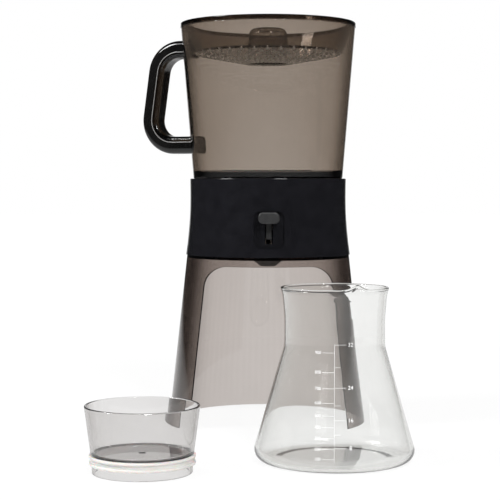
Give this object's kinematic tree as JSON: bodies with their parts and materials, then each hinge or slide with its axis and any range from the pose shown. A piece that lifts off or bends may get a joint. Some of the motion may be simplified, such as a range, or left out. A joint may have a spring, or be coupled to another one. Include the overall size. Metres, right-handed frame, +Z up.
{
  "type": "cold brew coffee maker",
  "caption": "Tall cold brew coffee maker: smoky brewing container over a black collar with a release switch, on an arched stand, with glass carafe and stopper cup.",
  "frame": {"origin": "on the table, on the tower's axis, in the plane of the stand's foot", "axes": "+Z up along the tower, -Y out of the front where the release switch and the arch are, +X to the right as the switch is seen"},
  "size_m": [0.2707, 0.4116, 0.387],
  "materials": {
    "smoky_plastic": "polished smoky clear plastic",
    "black_gloss": "high gloss",
    "black_matte": "fine matte moulding",
    "grey_plastic": "satin",
    "white_plastic": "satin",
    "steel": "bright drawn steel",
    "steel_mesh": "woven fine wire",
    "silicone": "soft white silicone",
    "handle_dark": "thick smoky plastic, gloss",
    "handle_brown": "smoky plastic, gloss",
    "clear_glass": "clear borosilicate with white print",
    "grey_clear_plastic": "pale grey clear plastic"
  },
  "bodies": {
    "stand": {"stand_shell": "smoky_plastic", "collar_cover": "black_gloss", "collar_core": "black_matte", "drain_tube": "black_matte", "drip_spout": "black_matte", "lever_pin": "steel", "collar_screws": "steel", "detent_leaf": "steel", "leaf_screw": "steel"},
    "lever": {"release_lever": "grey_plastic", "lever_thumb": "grey_plastic"},
    "lifter": {"lift_rod": "white_plastic"},
    "container": {"brewing_container": "smoky_plastic", "handle_shell": "handle_dark", "handle_liner": "handle_brown", "valve_gasket": "silicone", "valve_cage": "black_matte", "valve_spring": "steel"},
    "plug": {"valve_plug": "silicone", "plug_stem": "white_plastic"},
    "filter": {"filter_gasket": "silicone", "filter_frame": "steel", "filter_mesh": "steel_mesh"},
    "rainmaker": {"rainmaker_tray": "smoky_plastic"},
    "carafe": {"carafe_glass": "clear_glass"},
    "stopper": {"stopper_cup": "grey_clear_plastic", "stopper_seal": "silicone"}
  },
  "joints": [
    {"name": "lever_tilt", "type": "hinge", "parent": "stand", "child": "lever", "pos_m": [0, -0.02, 0.188], "axis": [1, 0, 0], "range_deg": [0, 18]},
    {"name": "rod_lift", "type": "slide", "parent": "stand", "child": "lifter", "axis": [0, 0, 1], "range_m": [0, 0.0062]},
    {"name": "container_lift", "type": "slide", "parent": "stand", "child": "container", "axis": [0, 0, 1], "range_m": [0, 0.12]},
    {"name": "plug_lift", "type": "slide", "parent": "container", "child": "plug", "axis": [0, 0, 1], "range_m": [0, 0.0062], "deforming": ["valve_spring"]},
    {"name": "filter_lift", "type": "slide", "parent": "container", "child": "filter", "axis": [0, 0, 1], "range_m": [0, 0.09]},
    {"name": "rainmaker_lift", "type": "slide", "parent": "container", "child": "rainmaker", "axis": [0, 0, 1], "range_m": [0, 0.08]},
    {"name": "carafe_lift", "type": "slide", "parent": "stand", "child": "carafe", "axis": [0, 0, 1], "range_m": [0, 0.1]},
    {"name": "stopper_lift", "type": "slide", "parent": "stand", "child": "stopper", "axis": [0, 0, 1], "range_m": [0, 0.1]}
  ],
  "couplings": [
    {"joint": "rod_lift", "follows": "lever_tilt", "m_per_rad": 0.01967},
    {"joint": "plug_lift", "follows": "lever_tilt", "m_per_rad": 0.01967}
  ]
}
